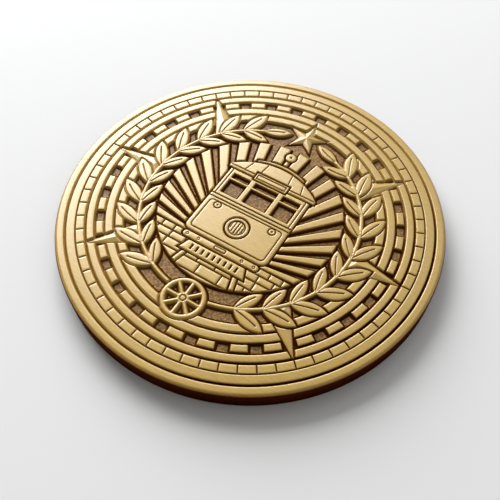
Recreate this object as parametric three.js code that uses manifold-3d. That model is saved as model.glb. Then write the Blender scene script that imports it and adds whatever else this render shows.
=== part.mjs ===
// A struck metal token, 50 mm across and 3 mm thick, made of one piece of brass.
// Millimetres, +Z up. It lies on its reverse rim at z = 0, with the design's top towards +Y.
// The origin is the centre of the face that it rests on.
// All raised work ends at one flat level, the rim's, as on a die-struck medal.

import * as THREE from 'three';
import { mergeVertices } from 'three/addons/utils/BufferGeometryUtils.js';
import Module from 'manifold-3d';

// Blank
const tokenDiameter = 50;
const tokenThickness = 3;
const edgeRadius = 0.5;
const wallDraft = 0.05;

// Border of the obverse, from the edge inwards
const rimWidth = 1.16;
const rimGrooveWidth = 0.33;
const outerBandWidth = 1.04;
const fineGrooveWidth = 0.19;
const brickBandWidth = 0.98;
const brickGrooveWidth = 0.35;
const middleBandWidth = 0.85;
const blockChannelWidth = 1.52;
const innerBandWidth = 0.93;
const innerGrooveWidth = 0.37;
const fieldBandWidth = 0.93;

// Depths below the top of the rim
const reliefDepth = 0.45;
const lineDepth = 0.22;

// Bricks and blocks round the border
const brickCount = 64;
const brickJointWidth = 0.16;
const blockCount = 32;
const blockLength = 1.95;
const blockWidth = 0.83;
const blockSetback = 0.38;

// Reverse
const reverseRimWidth = 1.6;
const reverseDepth = 0.35;

// Gap left round every raised motif that crosses another
const outlineGap = 0.28;
const lineWidth = 0.2;

// Star points behind the wreath
const pointCount = 8;
const pointReach = 4.6;
const pointHalfWidth = 1.5;
const pointRoot = 2.2;

// Wreath of two branches
const stemSetback = 2.0;
const stemWidth = 0.42;
const leafNodes = 10;
const firstLeafAngle = -66;
const leafStep = 13.4;
const leafSpread = 36;
const endLeafOverlap = 0.12;
const outerLeafLength = 4.5;
const outerLeafHalfWidth = 0.84;
const innerLeafLength = 3.9;
const innerLeafHalfWidth = 0.7;

// Star at the top and spoked wheel at the foot of the wreath
const starRadius = 2.5;
const starSetback = 1.2;
const wheelRadius = 2.75;
const wheelSetback = 1.3;
const wheelTyreWidth = 0.55;
const wheelHubRadius = 0.75;
const wheelSpokeWidth = 0.42;
const wheelSpokes = 8;

// Scene inside the wreath
const sceneClearance = 0.45;
const horizonDrop = 6.9;
const rayCount = 20;
const rayShare = 0.5;
const firstCobbleRow = 0.85;
const cobbleGrowth = 1.22;
const cobbleRows = 4;
const cobbleLength = 1.75;

// Streetcar, seen from the front
const carHalfWidth = 6;
const carSill = -6.4;
const carEaves = 5.2;
const carCornerRadius = 0.9;
const roofOverhang = 0.5;
const roofRise = 2.5;
const clerestoryHalfWidth = 3.6;
const clerestoryHeight = 3.6;
const clerestoryRise = 0.8;
const poleWidth = 0.5;
const poleHeight = 5.5;
const poleWheelRadius = 0.7;
const boardHalfWidth = 2.4;
const boardHeight = 1.15;
const boardDrop = 0.35;

// Windows
const windowSill = 0.7;
const windowHead = 4.35;
const windowBarHeight = 3.3;
const windowBarWidth = 0.28;
const centreWindowHalfWidth = 1.8;
const windowPostWidth = 0.62;
const sidePostWidth = 0.85;

// Dash panel, lamps and running gear
const waistDrop = 0.55;
const waistSpacing = 0.55;
const headlampDrop = 3.9;
const headlampRadius = 1.5;
const headlampRingWidth = 0.42;
const markerLampRadius = 0.5;
const markerLampOffset = 4.1;
const bumperHalfWidth = 5.5;
const bumperHeight = 0.85;
const guardTopHalfWidth = 4.1;
const guardFootHalfWidth = 4.7;
const guardHeight = 1.5;
const guardSlots = 9;
const guardSlotWidth = 0.3;
const guardFrameWidth = 0.35;
const railGauge = 6.2;
const railSplay = 2.6;
const railWidth = 0.55;

// Facets
const roundSteps = 80;
const smallRoundSteps = 16;
const leafArcSteps = 1.5;
const stemArcSteps = 8;

const tokenRadius = tokenDiameter / 2;
const top = tokenThickness;
const floor = top - reliefDepth;
const root = floor - reliefDepth;
const above = top + reliefDepth;

const rimInner = tokenRadius - rimWidth;
const outerBandOuter = rimInner - rimGrooveWidth;
const outerBandInner = outerBandOuter - outerBandWidth;
const brickOuter = outerBandInner - fineGrooveWidth;
const brickInner = brickOuter - brickBandWidth;
const middleBandOuter = brickInner - brickGrooveWidth;
const channelOuter = middleBandOuter - middleBandWidth;
const channelInner = channelOuter - blockChannelWidth;
const innerGrooveOuter = channelInner - innerBandWidth;
const fieldBandOuter = innerGrooveOuter - innerGrooveWidth;
const fieldRadius = fieldBandOuter - fieldBandWidth;
const stemRadius = fieldRadius - stemSetback;
const leafTurn = THREE.MathUtils.degToRad(leafSpread);
const innerLeafTip = Math.hypot(
  stemRadius - innerLeafLength * Math.sin(leafTurn),
  innerLeafLength * Math.cos(leafTurn),
);
const sceneRadius = innerLeafTip - sceneClearance;

const wasm = await Module();
wasm.setup();
const { Manifold } = wasm;

// A closed geometry as a solid: shared corners merged, collapsed triangles left out.
function solidOf(geometry) {
  geometry.deleteAttribute('normal');
  geometry.deleteAttribute('uv');
  const merged = mergeVertices(geometry, 1e-5);
  const corners = Array.from(merged.index.array);
  const kept = [];
  for (let i = 0; i < corners.length; i += 3) {
    const [a, b, c] = corners.slice(i, i + 3);
    if (a !== b && b !== c && c !== a) kept.push(a, b, c);
  }
  const vertProperties = new Float32Array(merged.attributes.position.array);
  return new Manifold(new wasm.Mesh({ numProp: 3, vertProperties, triVerts: new Uint32Array(kept) }));
}

function geometryOf(solid) {
  const mesh = solid.getMesh();
  const geometry = new THREE.BufferGeometry();
  geometry.setAttribute('position', new THREE.BufferAttribute(mesh.vertProperties, 3));
  geometry.setIndex(new THREE.BufferAttribute(mesh.triVerts, 1));
  geometry.computeVertexNormals();
  return geometry;
}

// An outline carried straight up from one level to another.
function prism(outline, low, high, curveSegments = 4) {
  const settings = { depth: high - low, bevelEnabled: false, curveSegments };
  return solidOf(new THREE.ExtrudeGeometry(outline, settings).translate(0, 0, low));
}

const raised = (outline, curveSegments) => prism(outline, root, top, curveSegments);
const hollow = (outline, curveSegments) => prism(outline, floor, above, curveSegments);
const scored = (outline, curveSegments) => prism(outline, top - lineDepth, above, curveSegments);
const union = (solids) => Manifold.union(solids);

function polar(radius, angle) {
  return new THREE.Vector2(radius * Math.cos(angle), radius * Math.sin(angle));
}

function rectangle(left, right, bottom, head) {
  return new THREE.Shape([
    new THREE.Vector2(left, bottom),
    new THREE.Vector2(right, bottom),
    new THREE.Vector2(right, head),
    new THREE.Vector2(left, head),
  ]);
}

function disc(radius, x = 0, y = 0) {
  const outline = new THREE.Shape();
  outline.absarc(x, y, radius, 0, Math.PI * 2);
  return outline;
}

function ring(outer, inner, x = 0, y = 0) {
  const outline = disc(outer, x, y);
  outline.holes.push(disc(inner, x, y));
  return outline;
}

// Walls of one groove in the profile, walked inwards from its outer edge.
function grooveWalls(outer, width) {
  return [
    new THREE.Vector2(outer, top),
    new THREE.Vector2(outer - wallDraft, floor),
    new THREE.Vector2(outer - width + wallDraft, floor),
    new THREE.Vector2(outer - width, top),
  ];
}

// A quarter round between a face and the side, from one angle of the quarter to the other.
function cornerRound(level, from, to) {
  const steps = 2;
  const centre = tokenRadius - edgeRadius;
  return Array.from({ length: steps + 1 }, (_, i) => {
    const angle = from + ((to - from) * i) / steps;
    return new THREE.Vector2(centre + edgeRadius * Math.cos(angle), level + edgeRadius * Math.sin(angle));
  });
}

// The reverse: a rim round a plain sunk field.
function reverseProfile() {
  const rimFoot = tokenRadius - reverseRimWidth;
  return [
    new THREE.Vector2(0, reverseDepth),
    new THREE.Vector2(rimFoot - wallDraft, reverseDepth),
    new THREE.Vector2(rimFoot, 0),
  ];
}

// The turned blank with every full ring of the border.
function blank() {
  const profile = [
    ...reverseProfile(),
    ...cornerRound(edgeRadius, -Math.PI / 2, 0),
    ...cornerRound(top - edgeRadius, 0, Math.PI / 2),
    ...grooveWalls(rimInner, rimGrooveWidth),
    ...grooveWalls(outerBandInner, outerBandInner - middleBandOuter),
    ...grooveWalls(channelOuter, blockChannelWidth),
    ...grooveWalls(innerGrooveOuter, innerGrooveWidth),
    new THREE.Vector2(fieldRadius, top),
    new THREE.Vector2(fieldRadius - wallDraft, floor),
    new THREE.Vector2(0, floor),
  ];
  return solidOf(new THREE.LatheGeometry(profile, roundSteps).rotateX(Math.PI / 2));
}

// A ring of equal raised pieces, each with its four corners on two circles.
function ringOfPieces(outer, inner, count, outerHalf, innerHalf) {
  const corners = [
    new THREE.Vector2(inner, -innerHalf),
    new THREE.Vector2(outer, -outerHalf),
    new THREE.Vector2(outer, outerHalf),
    new THREE.Vector2(inner, innerHalf),
  ];
  const piece = raised(new THREE.Shape(corners));
  const turn = 360 / count;
  return union(Array.from({ length: count }, (_, i) => piece.rotate([0, 0, (i + 0.5) * turn])));
}

// Bricks fill their ring but for a joint of even width between neighbours.
function borderBricks() {
  const halfTurn = Math.tan(Math.PI / brickCount);
  const outerHalf = brickOuter * halfTurn - brickJointWidth / 2;
  const innerHalf = brickInner * halfTurn - brickJointWidth / 2;
  return ringOfPieces(brickOuter, brickInner, brickCount, outerHalf, innerHalf);
}

// Blocks stand apart in their channel, and narrow towards the centre.
function borderBlocks() {
  const outer = channelOuter - blockSetback;
  const inner = outer - blockWidth;
  const halfLength = blockLength / 2;
  return ringOfPieces(outer, inner, blockCount, halfLength, (halfLength * inner) / outer);
}

// A star point that lies along +X, from behind the wreath out over the border.
function pointOutline(grow) {
  const foot = fieldRadius - pointRoot;
  const tip = fieldRadius + pointReach;
  const slope = pointHalfWidth / (tip - foot);
  const side = grow * Math.hypot(1, slope);
  return new THREE.Shape([
    new THREE.Vector2(foot, -pointHalfWidth - side),
    new THREE.Vector2(tip + side / slope, 0),
    new THREE.Vector2(foot, pointHalfWidth + side),
  ]);
}

function starPoints(grow, make) {
  const point = make(pointOutline(grow));
  const turn = 360 / pointCount;
  const solids = [];
  for (let i = 0; i < pointCount; i += 1) {
    const atStarOrWheel = (i + pointCount / 4) % (pointCount / 2) === 0;
    if (!atStarOrWheel) solids.push(point.rotate([0, 0, i * turn]));
  }
  return union(solids);
}

// A leaf is the overlap of two equal circles; it lies along +X with its stalk end at the origin.
function leafOutline(length, halfWidth, grow) {
  const bend = (length ** 2 / 4 + halfWidth ** 2) / (2 * halfWidth);
  const offset = bend - halfWidth;
  const radius = bend + grow;
  const half = Math.asin(offset / radius);
  const outline = new THREE.Shape();
  outline.absarc(length / 2, offset, radius, Math.PI + half, Math.PI * 2 - half);
  outline.absarc(length / 2, -offset, radius, half, Math.PI - half);
  return outline;
}

// One leaf turned by a spread from the stem's direction, at a node of the right-hand branch.
function leafAt(leaf, node, spread) {
  const angle = firstLeafAngle + node * leafStep;
  const place = polar(stemRadius, THREE.MathUtils.degToRad(angle));
  return leaf.rotate([0, 0, angle + 90 + spread]).translate([place.x, place.y, 0]);
}

function onBothSides(solids) {
  const branch = union(solids);
  return branch.add(branch.mirror([1, 0, 0]));
}

// The outer leaves reach over the border, so the same outline, grown, also clears their gap.
function outerLeaves(grow, make) {
  const leaf = make(leafOutline(outerLeafLength, outerLeafHalfWidth, grow), leafArcSteps);
  return onBothSides(Array.from({ length: leafNodes }, (_, i) => leafAt(leaf, i, -leafSpread)));
}

// The inner leaves stand on the field, with one more that starts just short of each stem's end.
function innerLeaves() {
  const leaf = raised(leafOutline(innerLeafLength, innerLeafHalfWidth, 0), leafArcSteps);
  const leaves = Array.from({ length: leafNodes }, (_, i) => leafAt(leaf, i, leafSpread));
  return onBothSides([...leaves, leafAt(leaf, leafNodes - endLeafOverlap, 0)]);
}

function wreathStems() {
  const from = THREE.MathUtils.degToRad(firstLeafAngle - leafStep);
  const to = THREE.MathUtils.degToRad(firstLeafAngle + leafNodes * leafStep);
  const outline = new THREE.Shape();
  outline.absarc(0, 0, stemRadius + stemWidth / 2, from, to);
  outline.absarc(0, 0, stemRadius - stemWidth / 2, to, from, true);
  return onBothSides([raised(outline, stemArcSteps)]);
}

// Five-pointed star; growing it moves each edge out by the same distance.
function starOutline(grow) {
  const points = 5;
  const notchShare = Math.cos((2 * Math.PI) / points) / Math.cos(Math.PI / points);
  const edgeDistance = starRadius * Math.cos((2 * Math.PI) / points);
  const reach = starRadius * (1 + grow / edgeDistance);
  const centre = fieldRadius - starSetback;
  const corners = Array.from({ length: points * 2 }, (_, i) => {
    const corner = polar(i % 2 ? reach * notchShare : reach, Math.PI / 2 + (i * Math.PI) / points);
    return corner.add(new THREE.Vector2(0, centre));
  });
  return new THREE.Shape(corners);
}

// Spoked wheel at the foot: a tyre, a hub and straight spokes.
function footWheel() {
  const centre = -fieldRadius + wheelSetback;
  const spoke = rectangle(0, wheelRadius - wheelTyreWidth / 2, -wheelSpokeWidth / 2, wheelSpokeWidth / 2);
  const spokeSolid = raised(spoke);
  const parts = [
    raised(ring(wheelRadius, wheelRadius - wheelTyreWidth), smallRoundSteps / 2),
    raised(disc(wheelHubRadius), smallRoundSteps / 4),
  ];
  for (let i = 0; i < wheelSpokes; i += 1) {
    parts.push(spokeSolid.rotate([0, 0, (i * 360) / wheelSpokes]));
  }
  return union(parts).translate([0, centre, 0]);
}

function footWheelClearance() {
  const centre = -fieldRadius + wheelSetback;
  return hollow(disc(wheelRadius + outlineGap, 0, centre), smallRoundSteps / 2);
}

// Sun rays fan out from the horizon behind the streetcar and end on the scene's circle.
function sunRays() {
  const origin = new THREE.Vector2(0, -horizonDrop);
  const reachAt = (angle) => {
    const along = origin.y * Math.sin(angle);
    const reach = Math.sqrt(along ** 2 - origin.y ** 2 + sceneRadius ** 2) - along;
    return polar(reach, angle).add(origin);
  };
  const step = Math.PI / rayCount;
  const solids = [];
  for (let i = 0; i < rayCount; i += 1) {
    const middle = (i + 0.5) * step;
    const half = (step * rayShare) / 2;
    const start = polar(carHalfWidth / 2, middle).add(origin);
    solids.push(raised(new THREE.Shape([start, reachAt(middle - half), reachAt(middle + half)])));
  }
  return union(solids);
}

// Cobbled ground: a raised segment of the scene's circle, scored in rows that grow to the front.
function ground() {
  const horizon = Math.asin(-horizonDrop / sceneRadius);
  const outline = new THREE.Shape();
  outline.absarc(0, 0, sceneRadius, Math.PI - horizon, Math.PI * 2 + horizon);
  const slots = [];
  let head = -horizonDrop;
  for (let row = 0; row < cobbleRows; row += 1) {
    const rowHeight = firstCobbleRow * cobbleGrowth ** row;
    const foot = head - rowHeight;
    slots.push(scored(rectangle(-sceneRadius, sceneRadius, foot - lineWidth / 2, foot + lineWidth / 2)));
    const length = cobbleLength * cobbleGrowth ** row;
    const shift = row % 2 ? length / 2 : 0;
    for (let x = -sceneRadius + shift; x < sceneRadius; x += length) {
      const isClear = Math.hypot(x, foot) < sceneRadius && Math.abs(x) > railGauge / 2;
      if (isClear) slots.push(scored(rectangle(x - lineWidth / 2, x + lineWidth / 2, foot, head)));
    }
    head = foot;
  }
  return raised(outline, 8).subtract(union(slots));
}

// Rails splay out towards the front, from under the guard to the scene's circle.
function railOutline(side, grow) {
  const head = carSill - bumperHeight;
  const foot = -sceneRadius;
  const half = railWidth / 2 + grow;
  const near = (side * railGauge) / 2;
  const far = near + side * (railSplay / 2);
  return new THREE.Shape([
    new THREE.Vector2(far - half, foot),
    new THREE.Vector2(far + half, foot),
    new THREE.Vector2(near + half, head),
    new THREE.Vector2(near - half, head),
  ]);
}

// Car body below the roof, with rounded bottom corners.
function bodyOutline(grow) {
  const half = carHalfWidth + grow;
  const sill = carSill - grow;
  const round = carCornerRadius;
  const outline = new THREE.Shape();
  outline.moveTo(-half, carEaves);
  outline.lineTo(-half, sill + round);
  outline.absarc(-half + round, sill + round, round, Math.PI, Math.PI * 1.5);
  outline.absarc(half - round, sill + round, round, Math.PI * 1.5, Math.PI * 2);
  outline.lineTo(half, carEaves);
  return outline;
}

// A low arch over a straight foot: the roof and the clerestory on it.
function archOutline(half, foot, springing, rise) {
  const radius = (half ** 2 + rise ** 2) / (2 * rise);
  const centre = springing + rise - radius;
  const sweep = Math.asin(half / radius);
  const outline = new THREE.Shape();
  outline.moveTo(-half, foot);
  outline.lineTo(half, foot);
  outline.absarc(0, centre, radius, Math.PI / 2 - sweep, Math.PI / 2 + sweep);
  return outline;
}

function roofOutline(grow) {
  const half = carHalfWidth + roofOverhang + grow;
  return archOutline(half, carEaves - grow, carEaves + roofOverhang, roofRise + grow);
}

function clerestoryOutline(grow) {
  const springing = carEaves + clerestoryHeight - clerestoryRise;
  return archOutline(clerestoryHalfWidth + grow, carEaves, springing + grow, clerestoryRise);
}

function poleParts(grow, make) {
  const head = carEaves + poleHeight;
  const half = poleWidth / 2 + grow;
  const bar = make(rectangle(-half, half, carEaves, head));
  return bar.add(make(disc(poleWheelRadius + grow, 0, head), 6));
}

function boardOutline(grow) {
  const half = boardHalfWidth + grow;
  const foot = carEaves - boardDrop - grow;
  return rectangle(-half, half, foot, foot + boardHeight + grow * 2);
}

// Window openings: each has a tall pane under a small one.
function windowPanes() {
  const sideLeft = centreWindowHalfWidth + windowPostWidth;
  const sideRight = carHalfWidth - sidePostWidth;
  const barFoot = windowBarHeight - windowBarWidth / 2;
  const barHead = windowBarHeight + windowBarWidth / 2;
  const panes = [];
  for (const [left, right] of [
    [-sideRight, -sideLeft],
    [-centreWindowHalfWidth, centreWindowHalfWidth],
    [sideLeft, sideRight],
  ]) {
    panes.push(hollow(rectangle(left, right, windowSill, barFoot)));
    panes.push(hollow(rectangle(left, right, barHead, windowHead)));
  }
  return union(panes);
}

// Lines scored round the waist and round the lamps.
function dashLines() {
  const waist = windowSill - waistDrop;
  const lampLevel = windowSill - headlampDrop;
  const lines = [];
  for (const level of [waist, waist - waistSpacing]) {
    lines.push(scored(rectangle(-carHalfWidth, carHalfWidth, level - lineWidth / 2, level + lineWidth / 2)));
  }
  lines.push(hollow(ring(headlampRadius + outlineGap, headlampRadius, 0, lampLevel), smallRoundSteps / 2));
  const lens = headlampRadius - headlampRingWidth;
  lines.push(scored(ring(lens, lens - lineWidth, 0, lampLevel), smallRoundSteps / 2));
  for (const side of [-1, 1]) {
    const x = side * markerLampOffset;
    const y = waist - waistSpacing - markerLampRadius * 2;
    lines.push(scored(ring(markerLampRadius + lineWidth, markerLampRadius, x, y), smallRoundSteps / 4));
  }
  return union(lines);
}

function bumperOutline(grow) {
  const head = carSill - outlineGap + grow;
  const foot = carSill - outlineGap - bumperHeight - grow;
  const round = (head - foot) / 2;
  const middle = (head + foot) / 2;
  const outline = new THREE.Shape();
  outline.absarc(-bumperHalfWidth + bumperHeight / 2, middle, round, Math.PI / 2, Math.PI * 1.5);
  outline.absarc(bumperHalfWidth - bumperHeight / 2, middle, round, Math.PI * 1.5, Math.PI * 2.5);
  return outline;
}

// The guard in front of the wheels: a splayed frame with upright slots.
function guardOutline(grow) {
  const head = carSill - bumperHeight - outlineGap * 2;
  const foot = head - guardHeight;
  return new THREE.Shape([
    new THREE.Vector2(-guardFootHalfWidth - grow, foot - grow),
    new THREE.Vector2(guardFootHalfWidth + grow, foot - grow),
    new THREE.Vector2(guardTopHalfWidth + grow, head + grow),
    new THREE.Vector2(-guardTopHalfWidth - grow, head + grow),
  ]);
}

function guardSlotCuts() {
  const head = carSill - bumperHeight - outlineGap * 2 - guardFrameWidth;
  const foot = head - guardHeight + guardFrameWidth * 2;
  const pitch = (guardTopHalfWidth * 2) / (guardSlots + 1);
  const half = guardSlotWidth / 2;
  return union(Array.from({ length: guardSlots }, (_, i) => {
    const x = (i + 1) * pitch - guardTopHalfWidth;
    return hollow(rectangle(x - half, x + half, foot, head));
  }));
}

// A motif laid over what is there, with a gap sunk round it.
function overlay(base, make) {
  return base.subtract(make(outlineGap, hollow)).add(make(0, raised));
}

const outlined = (outline, curveSegments) => (grow, make) => make(outline(grow), curveSegments);

// The scene is built back to front and trimmed to its circle.
function scene() {
  let picture = union([sunRays(), ground()]);
  for (const side of [-1, 1]) {
    picture = overlay(picture, outlined((grow) => railOutline(side, grow)));
  }
  picture = overlay(picture, poleParts);
  picture = overlay(picture, outlined(clerestoryOutline, 4));
  picture = overlay(picture, outlined(bodyOutline, 3));
  picture = overlay(picture, outlined(roofOutline, 6));
  picture = overlay(picture, outlined(boardOutline));
  picture = overlay(picture, outlined(guardOutline));
  picture = overlay(picture, outlined(bumperOutline, 3));
  picture = picture.subtract(union([windowPanes(), dashLines(), guardSlotCuts()]));
  return picture.intersect(prism(disc(sceneRadius), root, above, roundSteps / 4));
}

// The struck token: border first, then the star points, the wreath, the star, the wheel and the scene.
function struckToken() {
  let token = blank().add(borderBricks()).add(borderBlocks());
  token = overlay(token, starPoints);
  token = overlay(token, outerLeaves);
  token = token.add(union([innerLeaves(), wreathStems()]));
  token = overlay(token, outlined(starOutline));
  token = token.subtract(footWheelClearance()).add(footWheel());
  return token.add(scene());
}

const brass = new THREE.MeshStandardMaterial({ color: 0xc8a660, roughness: 0.38, metalness: 1 });
const struckTokenMesh = new THREE.Mesh(geometryOf(struckToken()), brass);
struckTokenMesh.name = 'struck_token';

const part = new THREE.Group();
part.add(struckTokenMesh);

export default part;
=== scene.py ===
from math import cos, hypot, pi, radians, sin

import bpy
import numpy as np
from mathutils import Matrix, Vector


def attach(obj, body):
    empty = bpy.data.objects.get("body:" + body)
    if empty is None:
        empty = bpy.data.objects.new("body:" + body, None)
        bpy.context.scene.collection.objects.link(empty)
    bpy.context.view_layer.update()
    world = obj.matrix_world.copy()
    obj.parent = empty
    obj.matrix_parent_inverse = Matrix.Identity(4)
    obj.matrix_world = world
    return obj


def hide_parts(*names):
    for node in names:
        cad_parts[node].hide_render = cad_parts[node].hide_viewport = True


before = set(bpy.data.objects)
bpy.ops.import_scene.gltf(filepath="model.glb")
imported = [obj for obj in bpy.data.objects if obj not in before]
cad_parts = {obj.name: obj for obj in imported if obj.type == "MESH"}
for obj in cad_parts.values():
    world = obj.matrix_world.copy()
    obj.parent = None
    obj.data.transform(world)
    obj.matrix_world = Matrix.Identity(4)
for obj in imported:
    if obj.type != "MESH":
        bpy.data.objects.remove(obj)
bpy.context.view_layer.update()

MM = 0.001
NODE = "struck_token"

# Blank
token_radius = 25.0
thickness = 3.0
edge_radius = 0.5
relief_depth = 0.45
line_depth = 0.2
reverse_rim_width = 1.6
reverse_depth = 0.35

# Border: widths from the rim inwards, and the radii that they lead to
rim_width = 1.16
rim_groove_width = 0.33
outer_band_width = 1.04
fine_groove_width = 0.19
brick_width = 0.98
middle_groove_width = 0.35
middle_band_width = 0.85
channel_width = 1.52
inner_band_width = 0.93
inner_groove_width = 0.37
field_band_width = 0.93
rim_inner = token_radius - rim_width
outer_band_outer = rim_inner - rim_groove_width
fine_groove_outer = outer_band_outer - outer_band_width
brick_outer = fine_groove_outer - fine_groove_width
brick_inner = brick_outer - brick_width
middle_band_outer = brick_inner - middle_groove_width
channel_outer = middle_band_outer - middle_band_width
channel_inner = channel_outer - channel_width
inner_groove_outer = channel_inner - inner_band_width
field_band_outer = inner_groove_outer - inner_groove_width
field_radius = field_band_outer - field_band_width
brick_count = 64
brick_joint = 0.17
block_count = 32
block_length = 1.95
block_width = 0.83
block_setback = 0.38
block_outer = channel_outer - block_setback
block_inner = block_outer - block_width
block_half_angle = block_length / 2 / block_outer

# Struck edges: a soft shoulder, then a steep wall down to the floor of a narrow groove, and a
# second slope from there to the floor of a wide one; lines have a shoulder of their own
shoulder_run = 0.11
shoulder_drop = 0.042
groove_depth = 0.32
wall_run = 0.1
foot_start = 0.13
foot_run = 0.24
line_shoulder_run = 0.13
line_shoulder_drop = 0.04
outline_gap = 0.28
line_width = 0.17
hair_width = 0.14

# A distance at which nothing is near, a reach that takes in the whole token, and the margin added
# to every reach
FAR = 9.0
EVERYWHERE = 30.0
reach_margin = 1.0

# How far the tops are rounded over beyond the shoulder: the width of it, and its drop at the edge
border_crown = (0.42, 0.028)
band_crown = (0.40, 0.04)
leaf_crown = (0.50, 0.055)
stem_crown = (0.21, 0.08)
tyre_crown = (0.27, 0.10)
ray_crown = (0.30, 0.03)
stone_crown = (0.40, 0.05)
body_crown = (0.50, 0.045)
lens_crown = (1.08, 0.14)
point_facet = (1.10, 0.24)
star_facet = (0.77, 0.24)

# Wreath, star points, star and wheel
point_count = 8
point_foot = field_radius - 2.2
point_tip = field_radius + 4.6
point_half_width = 1.5
stem_radius = field_radius - 2.0
stem_width = 0.42
leaf_nodes = 10
first_leaf = radians(-66)
leaf_step = radians(13.4)
leaf_spread = radians(36)
end_leaf_overlap = 0.12
midrib_bow = 0.1
midrib_start = 0.3
midrib_share = 0.78
outer_leaf = (4.5, 0.84)
inner_leaf = (3.9, 0.70)
star_tips = 5
star_radius = 2.5
star_y = field_radius - 1.2
wheel_radius = 2.75
wheel_y = -field_radius + 1.3
tyre_width = 0.55
hub_radius = 0.75
axle_radius = hub_radius / 2
spoke_width = 0.42
spoke_count = 8

# Scene inside the wreath
inner_leaf_tip = hypot(stem_radius - inner_leaf[0] * sin(leaf_spread), inner_leaf[0] * cos(leaf_spread))
scene_radius = inner_leaf_tip - 0.45
horizon = -6.9
ray_count = 20
first_cobble_row = 0.85
cobble_growth = 1.22
cobble_rows = 4
cobble_length = 1.75

# Streetcar, from the roof down
car_half = 6.0
car_sill = -6.4
car_eaves = 5.2
car_corner = 0.9
body_head = car_eaves + car_corner
roof_overhang = 0.5
roof_rise = 2.5
roof_margin = 0.1
roof_rib_reach = 4.4
roof_rib_lean = 0.06
eave_line = car_eaves + 0.42
clerestory_half = 3.6
clerestory_height = 3.6
clerestory_rise = 0.8
pole_width = 0.5
pole_height = 5.5
pole_wheel_radius = 0.7
pole_axle_radius = 0.16
board_half = 2.4
board_height = 1.15
board_foot = car_eaves - 0.35
board_inset = 0.25
window_sill = 0.7
window_head = 4.35
window_bar = 3.3
window_bar_width = 0.28
centre_window_half = 1.8
side_window_left = centre_window_half + 0.62
side_window_right = car_half - 0.85
post_x = car_half - 0.42
post_head = car_eaves - 0.3
waist = window_sill - 0.55
waist_spacing = 0.55
waist_half = car_half - 0.02
panel_half = car_half - 0.6
panel_head = waist - waist_spacing - 0.45
panel_foot = car_sill + 0.55
panel_corner = 0.5
lamp_y = window_sill - 3.9
lamp_radius = 1.5
lamp_clearance = lamp_radius + 0.3
lens_radius = lamp_radius - 0.42
lens_rib_step = 0.42
lens_rib_margin = 0.15
marker_radius = 0.5
marker_dot_radius = 0.12
marker_x = 4.1
marker_y = waist - waist_spacing - marker_radius * 2
bumper_half = 5.5
bumper_height = 0.85
bumper_corner = bumper_height / 2 - 0.01
inner_bolt_x = 3.2
outer_bolt_x = 4.9
bolt_radius = 0.17
bolt_line_width = 0.1
coupler_half = 0.8
coupler_margin = 0.18
coupler_corner = 0.1
guard_head = car_sill - bumper_height - outline_gap * 2
guard_height = 1.5
guard_head_half = 4.1
guard_foot_half = 4.7
guard_slots = 9
guard_slot_width = 0.3
guard_frame = 0.35
rail_gauge = 6.2
rail_splay = 2.6
rail_width = 0.55


# Signed distances, in mm, below zero inside the shape


def disc(x, y, radius, cx=0.0, cy=0.0):
    """Distance from the centre, less the radius."""
    return np.hypot(x - cx, y - cy) - radius


def band(value, low, high):
    """Distance of a coordinate from the stretch between two values."""
    return np.maximum(low - value, value - high)


def rectangle(x, y, left, right, foot, head):
    """The larger of the distances from the two stretches, so that a grown corner stays sharp."""
    return np.maximum(band(x, left, right), band(y, foot, head))


def rounded(x, y, left, right, foot, head, corner):
    """The usual rounded box: distance from the box drawn in by the corner radius, less that radius."""
    across = np.abs(x - (left + right) / 2) - (right - left) / 2 + corner
    upward = np.abs(y - (foot + head) / 2) - (head - foot) / 2 + corner
    outside = np.hypot(np.maximum(across, 0), np.maximum(upward, 0))
    return outside + np.minimum(np.maximum(across, upward), 0) - corner


def convex(x, y, corners):
    """The largest of the distances from the sides of a polygon that turns left."""
    worst = np.full(x.shape, -FAR)
    for (x0, y0), (x1, y1) in zip(corners, corners[1:] + corners[:1]):
        length = hypot(x1 - x0, y1 - y0)
        side = ((x - x0) * (y1 - y0) - (y - y0) * (x1 - x0)) / length
        worst = np.maximum(worst, side)
    return worst


def arch(x, y, half, foot, springing, rise):
    """A box whose head is a circle through both springing points."""
    radius = (half**2 + rise**2) / (2 * rise)
    head = disc(x, y, radius, 0, springing + rise - radius)
    return np.maximum(np.maximum(np.abs(x) - half, foot - y), head)


def leaf(u, v, length, half_width):
    """The overlap of two equal circles that meet at the stalk and at the tip."""
    radius = (length**2 / 4 + half_width**2) / (2 * half_width)
    offset = radius - half_width
    return np.maximum(disc(u, v, radius, length / 2, offset), disc(u, v, radius, length / 2, -offset))


def star(x, y, radius):
    """Distance from the line that joins a tip to the next but one, the plane folded into half a point."""
    turn = 2 * pi / star_tips
    folded = np.abs((np.arctan2(x, y) + turn / 2) % turn - turn / 2)
    return np.hypot(x, y) * np.cos(folded - turn) - radius * cos(turn)


def turned(x, y, place, angle):
    """Coordinates in a frame that stands at place and is turned by angle."""
    dx, dy = x - place[0], y - place[1]
    return dx * cos(angle) + dy * sin(angle), dy * cos(angle) - dx * sin(angle)


def on_circle(radius, angle):
    """The point at a radius and an angle."""
    return radius * cos(angle), radius * sin(angle)


def crown(d, size):
    """Drop of a rounded top: a quarter circle's fall, stretched to the crown's run and drop."""
    run, drop = size
    u = np.clip(1 + d / run, 0, 1)
    return drop * (1 - np.sqrt(1 - u * u))


def facet(d, size):
    """Drop of a top that slopes evenly from its ridge to its edge."""
    run, drop = size
    return drop * np.clip(1 + d / run, 0, 1)


def flat(d, size):
    """No drop at all."""
    return np.zeros(d.shape)


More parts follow.
